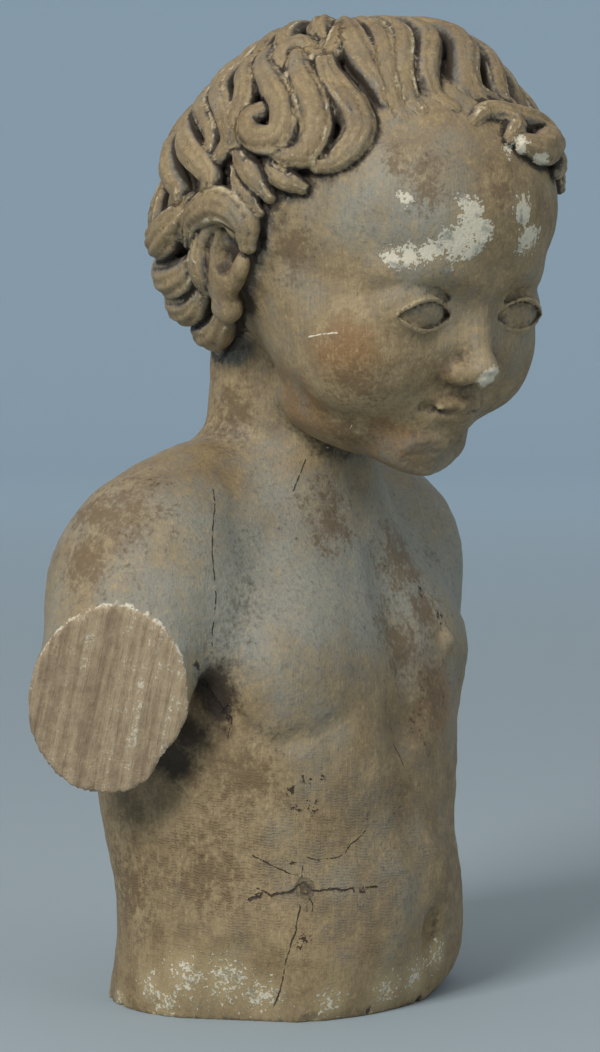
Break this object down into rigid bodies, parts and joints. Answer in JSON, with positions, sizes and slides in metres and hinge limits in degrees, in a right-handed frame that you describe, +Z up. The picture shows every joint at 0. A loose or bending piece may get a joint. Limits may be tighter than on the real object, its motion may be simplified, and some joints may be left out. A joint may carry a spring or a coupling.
{
  "type": "carved wooden putto bust",
  "caption": "Carved wooden bust of a curly-haired child looking down to one side, sawn flat below the navel, its arms cut off, with remains of gesso.",
  "frame": {"origin": "middle of the flat underside", "axes": "+Z up the trunk, the chest faces -Y, the figure's right arm is at -X"},
  "size_m": [0.2433, 0.2069, 0.4104],
  "materials": {
    "carved_wood": "old waxed wood with dust and gesso remains"
  },
  "bodies": {
    "root": {"putto_bust": "carved_wood"}
  },
  "joints": []
}
